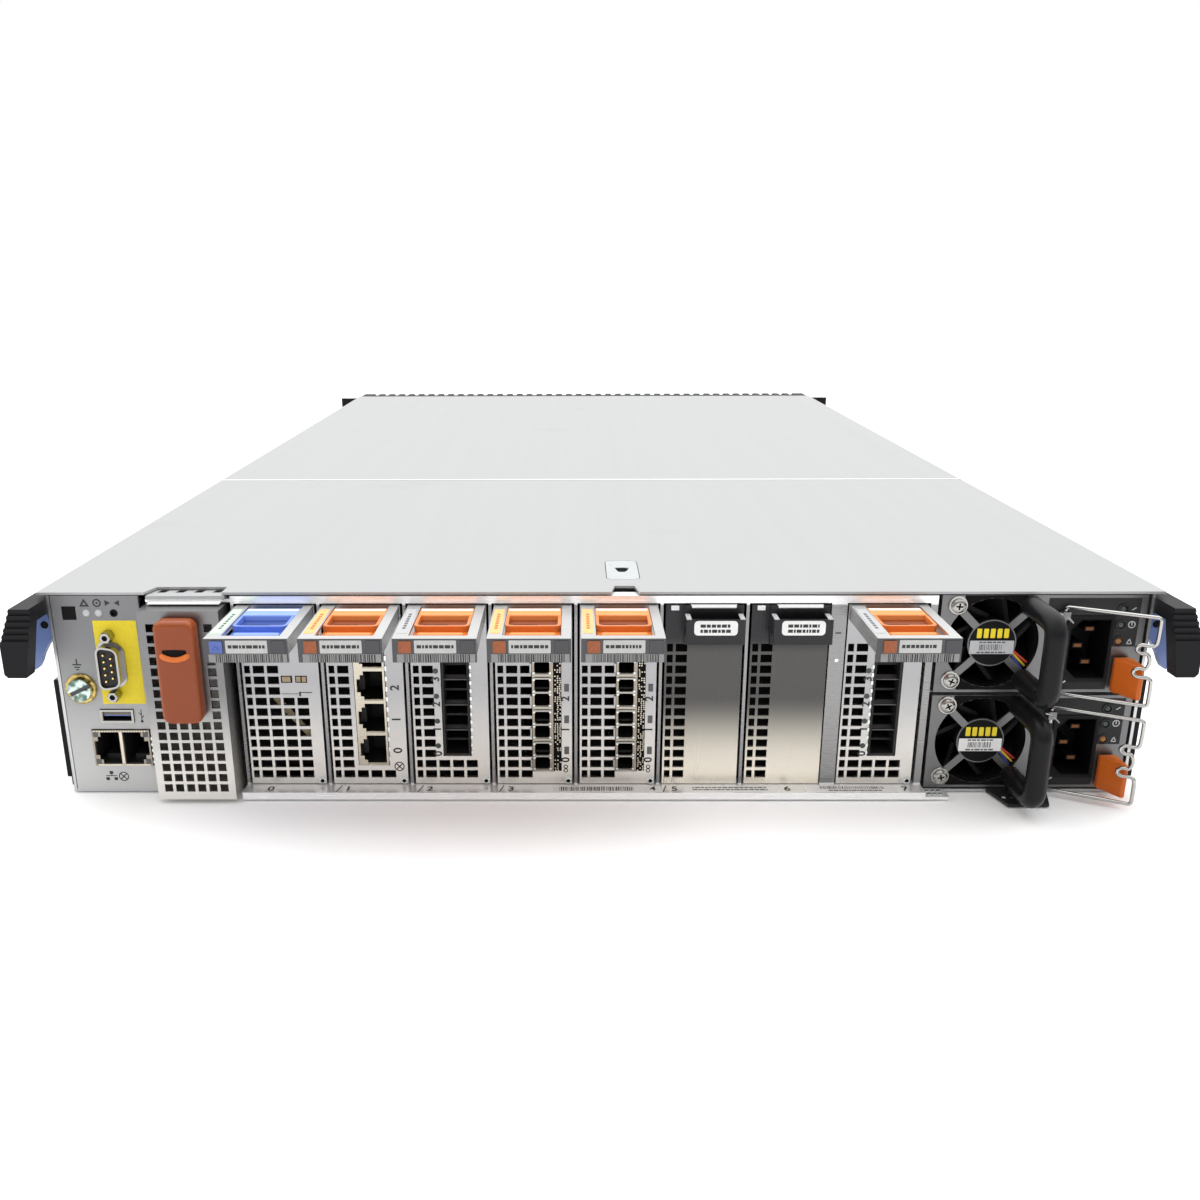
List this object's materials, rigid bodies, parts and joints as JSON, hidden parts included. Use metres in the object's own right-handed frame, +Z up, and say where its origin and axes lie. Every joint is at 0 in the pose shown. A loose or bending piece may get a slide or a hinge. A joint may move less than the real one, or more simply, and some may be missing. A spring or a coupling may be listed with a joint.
{
  "type": "backup storage appliance",
  "caption": "Rack-mount storage appliance with slide-out I/O modules, sprung triggers, twin power supplies, battery module and sliding rear cover.",
  "frame": {"origin": "middle of the tray's underside", "axes": "+X right seen from the rear, +Y from the rear to the front bezel, +Z up"},
  "size_m": [0.4826, 0.818, 0.0864],
  "materials": {
    "galvanised_steel": "zinc plated sheet",
    "cover_steel": "satin light grey",
    "bright_steel": "bright drawn wire",
    "black_plastic": "moulded black",
    "orange_plastic": "moulded orange",
    "blue_plastic": "moulded blue",
    "brass_plate": "zinc and brass plated",
    "circuit_board": "laminate with parts",
    "black_metal": "black powder coat"
  },
  "bodies": {
    "chassis": {"chassis_tray": "galvanised_steel", "front_cover": "cover_steel", "front_bezel": "black_plastic", "rack_ears": "black_metal", "rear_frame": "galvanised_steel", "management_panel": "cover_steel", "serial_port": "bright_steel", "panel_jacks": "bright_steel", "ground_screw": "brass_plate", "left_grip": "black_plastic", "right_grip": "black_plastic", "cable_bracket": "black_metal", "system_board": "circuit_board", "fan_bank": "black_plastic"},
    "rear_cover": {"rear_cover": "cover_steel"},
    "cover_latch": {"cover_latch": "bright_steel"},
    "battery_module": {"battery_case": "galvanised_steel", "battery_grip": "orange_plastic"},
    "left_lever": {"left_lever": "blue_plastic"},
    "right_lever": {"right_lever": "blue_plastic"},
    "io_module_0": {"io_carrier_0": "galvanised_steel", "io_card_0": "circuit_board", "io_handle_0": "galvanised_steel"},
    "io_trigger_0": {"io_trigger_0": "blue_plastic"},
    "io_module_1": {"io_carrier_1": "galvanised_steel", "io_card_1": "circuit_board", "io_handle_1": "galvanised_steel"},
    "io_trigger_1": {"io_trigger_1": "orange_plastic"},
    "io_module_2": {"io_carrier_2": "galvanised_steel", "io_card_2": "circuit_board", "io_handle_2": "galvanised_steel"},
    "io_trigger_2": {"io_trigger_2": "orange_plastic"},
    "io_module_3": {"io_carrier_3": "galvanised_steel", "io_card_3": "circuit_board", "io_handle_3": "galvanised_steel"},
    "io_trigger_3": {"io_trigger_3": "orange_plastic"},
    "io_module_4": {"io_carrier_4": "galvanised_steel", "io_card_4": "circuit_board", "io_handle_4": "galvanised_steel"},
    "io_trigger_4": {"io_trigger_4": "orange_plastic"},
    "io_module_7": {"io_carrier_7": "galvanised_steel", "io_card_7": "circuit_board", "io_handle_7": "galvanised_steel"},
    "io_trigger_7": {"io_trigger_7": "orange_plastic"},
    "filler_5": {"filler_plate_5": "galvanised_steel", "filler_tab_5": "black_plastic"},
    "filler_6": {"filler_plate_6": "galvanised_steel", "filler_tab_6": "black_plastic"},
    "psu_lower": {"psu_lower_case": "galvanised_steel", "psu_lower_handle": "black_plastic", "psu_lower_inlet": "black_plastic"},
    "psu_lower_impeller": {"psu_lower_impeller": "black_plastic"},
    "psu_lower_bail": {"psu_lower_bail": "bright_steel"},
    "psu_lower_latch": {"psu_lower_latch": "orange_plastic"},
    "psu_upper": {"psu_upper_case": "galvanised_steel", "psu_upper_handle": "black_plastic", "psu_upper_inlet": "black_plastic"},
    "psu_upper_impeller": {"psu_upper_impeller": "black_plastic"},
    "psu_upper_bail": {"psu_upper_bail": "bright_steel"},
    "psu_upper_latch": {"psu_upper_latch": "orange_plastic"}
  },
  "joints": [
    {"name": "rear_cover_slide", "type": "slide", "parent": "chassis", "child": "rear_cover", "axis": [0, -1, 0], "range_m": [0, 0.012]},
    {"name": "cover_latch_press", "type": "slide", "parent": "rear_cover", "child": "cover_latch", "axis": [0, 0, -1], "range_m": [0, 0.0012], "stiffness_N_per_m": 600},
    {"name": "battery_module_slide", "type": "slide", "parent": "chassis", "child": "battery_module", "axis": [0, -1, 0], "range_m": [0, 0.15]},
    {"name": "left_lever_squeeze", "type": "hinge", "parent": "chassis", "child": "left_lever", "pos_m": [-0.2229, -0.3685, 0.0724], "axis": [0, 1, 0], "range_deg": [0, 8], "stiffness_Nm_per_rad": 0.4},
    {"name": "right_lever_squeeze", "type": "hinge", "parent": "chassis", "child": "right_lever", "pos_m": [0.2229, -0.3685, 0.0724], "axis": [0, -1, 0], "range_deg": [0, 8], "stiffness_Nm_per_rad": 0.4},
    {"name": "io_module_0_slide", "type": "slide", "parent": "chassis", "child": "io_module_0", "axis": [0, -1, 0], "range_m": [0, 0.18]},
    {"name": "io_trigger_0_squeeze", "type": "slide", "parent": "io_module_0", "child": "io_trigger_0", "axis": [0, -1, 0], "range_m": [0, 0.004], "stiffness_N_per_m": 500},
    {"name": "io_module_1_slide", "type": "slide", "parent": "chassis", "child": "io_module_1", "axis": [0, -1, 0], "range_m": [0, 0.18]},
    {"name": "io_trigger_1_squeeze", "type": "slide", "parent": "io_module_1", "child": "io_trigger_1", "axis": [0, -1, 0], "range_m": [0, 0.004], "stiffness_N_per_m": 500},
    {"name": "io_module_2_slide", "type": "slide", "parent": "chassis", "child": "io_module_2", "axis": [0, -1, 0], "range_m": [0, 0.18]},
    {"name": "io_trigger_2_squeeze", "type": "slide", "parent": "io_module_2", "child": "io_trigger_2", "axis": [0, -1, 0], "range_m": [0, 0.004], "stiffness_N_per_m": 500},
    {"name": "io_module_3_slide", "type": "slide", "parent": "chassis", "child": "io_module_3", "axis": [0, -1, 0], "range_m": [0, 0.18]},
    {"name": "io_trigger_3_squeeze", "type": "slide", "parent": "io_module_3", "child": "io_trigger_3", "axis": [0, -1, 0], "range_m": [0, 0.004], "stiffness_N_per_m": 500},
    {"name": "io_module_4_slide", "type": "slide", "parent": "chassis", "child": "io_module_4", "axis": [0, -1, 0], "range_m": [0, 0.18]},
    {"name": "io_trigger_4_squeeze", "type": "slide", "parent": "io_module_4", "child": "io_trigger_4", "axis": [0, -1, 0], "range_m": [0, 0.004], "stiffness_N_per_m": 500},
    {"name": "io_module_7_slide", "type": "slide", "parent": "chassis", "child": "io_module_7", "axis": [0, -1, 0], "range_m": [0, 0.18]},
    {"name": "io_trigger_7_squeeze", "type": "slide", "parent": "io_module_7", "child": "io_trigger_7", "axis": [0, -1, 0], "range_m": [0, 0.004], "stiffness_N_per_m": 500},
    {"name": "filler_5_slide", "type": "slide", "parent": "chassis", "child": "filler_5", "axis": [0, -1, 0], "range_m": [0, 0.05]},
    {"name": "filler_6_slide", "type": "slide", "parent": "chassis", "child": "filler_6", "axis": [0, -1, 0], "range_m": [0, 0.05]},
    {"name": "psu_lower_slide", "type": "slide", "parent": "chassis", "child": "psu_lower", "axis": [0, -1, 0], "range_m": [0, 0.2]},
    {"name": "psu_lower_fan_spin", "type": "hinge", "parent": "psu_lower", "child": "psu_lower_impeller", "pos_m": [0.1573, -0.3555, 0.0229], "axis": [0, 1, 0], "continuous": true},
    {"name": "psu_lower_bail_swing", "type": "hinge", "parent": "psu_lower", "child": "psu_lower_bail", "pos_m": [0.1844, -0.3741, 0.0204], "axis": [0, 0, -1], "range_deg": [0, 70]},
    {"name": "psu_lower_latch_squeeze", "type": "hinge", "parent": "psu_lower", "child": "psu_lower_latch", "pos_m": [0.2126, -0.3345, 0.0117], "axis": [0, 0, -1], "range_deg": [0, 4.5], "stiffness_Nm_per_rad": 1.5},
    {"name": "psu_upper_slide", "type": "slide", "parent": "chassis", "child": "psu_upper", "axis": [0, -1, 0], "range_m": [0, 0.2]},
    {"name": "psu_upper_fan_spin", "type": "hinge", "parent": "psu_upper", "child": "psu_upper_impeller", "pos_m": [0.1573, -0.3555, 0.0651], "axis": [0, 1, 0], "continuous": true},
    {"name": "psu_upper_bail_swing", "type": "hinge", "parent": "psu_upper", "child": "psu_upper_bail", "pos_m": [0.1844, -0.3741, 0.0626], "axis": [0, 0, -1], "range_deg": [0, 70]},
    {"name": "psu_upper_latch_squeeze", "type": "hinge", "parent": "psu_upper", "child": "psu_upper_latch", "pos_m": [0.2126, -0.3345, 0.0539], "axis": [0, 0, -1], "range_deg": [0, 4.5], "stiffness_Nm_per_rad": 1.5}
  ]
}
